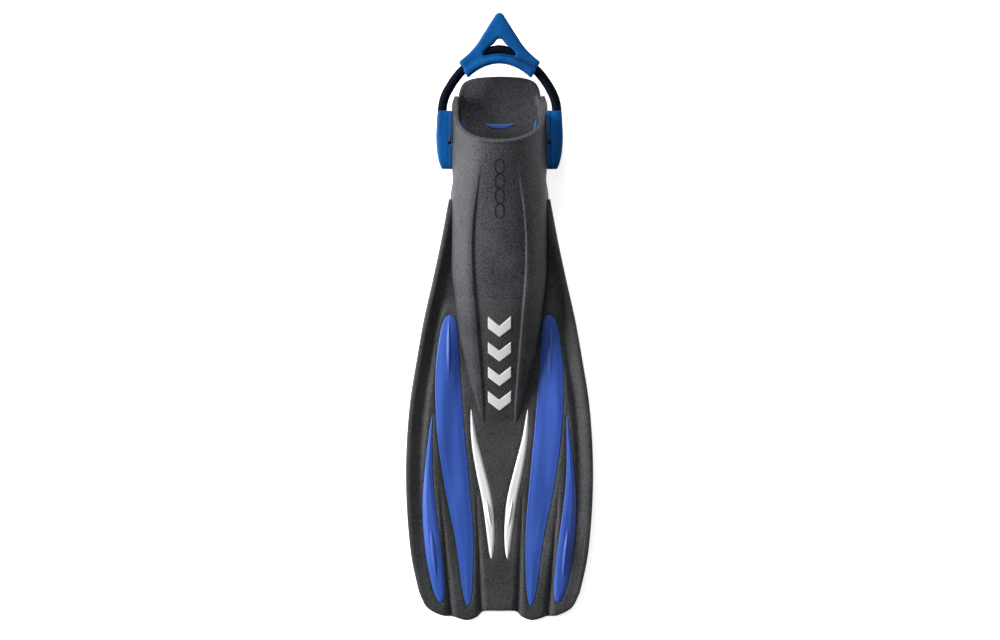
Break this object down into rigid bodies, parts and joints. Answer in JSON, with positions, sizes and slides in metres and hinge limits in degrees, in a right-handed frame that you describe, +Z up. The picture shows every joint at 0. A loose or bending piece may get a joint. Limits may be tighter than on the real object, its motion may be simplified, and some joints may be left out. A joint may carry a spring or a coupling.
{
  "type": "swim fin",
  "caption": "Open-heel swim fin with a rubber foot pocket, a channelled blade between two rails, and a bungee heel strap with a finger loop.",
  "frame": {"origin": "middle of the heel tread, on the ground that the fin rests on", "axes": "+Y to the heel strap, -Y to the blade tip, +Z up out of the instep, +X to the right seen from above with the strap up"},
  "size_m": [0.22, 0.7126, 0.1076],
  "materials": {
    "pocket_rubber": "matte, fine leathery grain",
    "blade_plastic": "satin, fine spark-eroded grain",
    "rail_rubber": "matte",
    "tread_rubber": "matte",
    "white_rubber": "satin",
    "blue_insert": "satin",
    "strap_blue": "satin",
    "bungee": "woven sleeve",
    "post_plastic": "satin",
    "steel": "brushed"
  },
  "bodies": {
    "fin": {"ball_tread": "tread_rubber", "blade_keel": "blade_plastic", "blade_panel": "blade_plastic", "foot_plate": "blade_plastic", "foot_pocket": "pocket_rubber", "heel_tread": "tread_rubber", "insert_centre_left": "white_rubber", "insert_centre_right": "white_rubber", "insert_inner_left": "blue_insert", "insert_inner_right": "blue_insert", "insert_outer_left": "blue_insert", "insert_outer_right": "blue_insert", "keel_mark_1": "white_rubber", "keel_mark_2": "white_rubber", "keel_mark_3": "white_rubber", "keel_mark_4": "white_rubber", "post_left": "post_plastic", "post_right": "post_plastic", "post_screw_left": "steel", "post_screw_right": "steel", "rail_left": "rail_rubber", "rail_right": "rail_rubber", "side_slot_left": "blue_insert", "side_slot_right": "blue_insert", "sole_slot_insert": "blue_insert"},
    "strap": {"bungee_left": "bungee", "bungee_right": "bungee", "cord_stop_left": "steel", "cord_stop_right": "steel", "latch_spring_left": "steel", "latch_spring_right": "steel", "terminal_base_left": "strap_blue", "terminal_base_right": "strap_blue", "terminal_cover_left": "strap_blue", "terminal_cover_right": "strap_blue", "terminal_screw_left_1": "steel", "terminal_screw_left_2": "steel", "terminal_screw_right_1": "steel", "terminal_screw_right_2": "steel"},
    "heel_pad": {"heel_pad": "strap_blue", "bungee_middle": "bungee"},
    "latch_left": {"latch_left": "post_plastic"},
    "latch_right": {"latch_right": "post_plastic"}
  },
  "joints": [
    {"name": "strap_swing", "type": "hinge", "parent": "fin", "child": "strap", "pos_m": [0, -0.052, 0.04], "axis": [1, 0, 0], "range_deg": [-10, 120]},
    {"name": "heel_stretch", "type": "slide", "parent": "strap", "child": "heel_pad", "axis": [0, 1, 0], "range_m": [0, 0.06], "stiffness_N_per_m": 400, "deforming": ["bungee_left", "bungee_right"]},
    {"name": "latch_left_press", "type": "slide", "parent": "strap", "child": "latch_left", "axis": [0, 0, -1], "range_m": [0, 0.0025], "stiffness_N_per_m": 300, "deforming": ["latch_spring_left"]},
    {"name": "latch_right_press", "type": "slide", "parent": "strap", "child": "latch_right", "axis": [0, 0, -1], "range_m": [0, 0.0025], "stiffness_N_per_m": 300, "deforming": ["latch_spring_right"]}
  ]
}
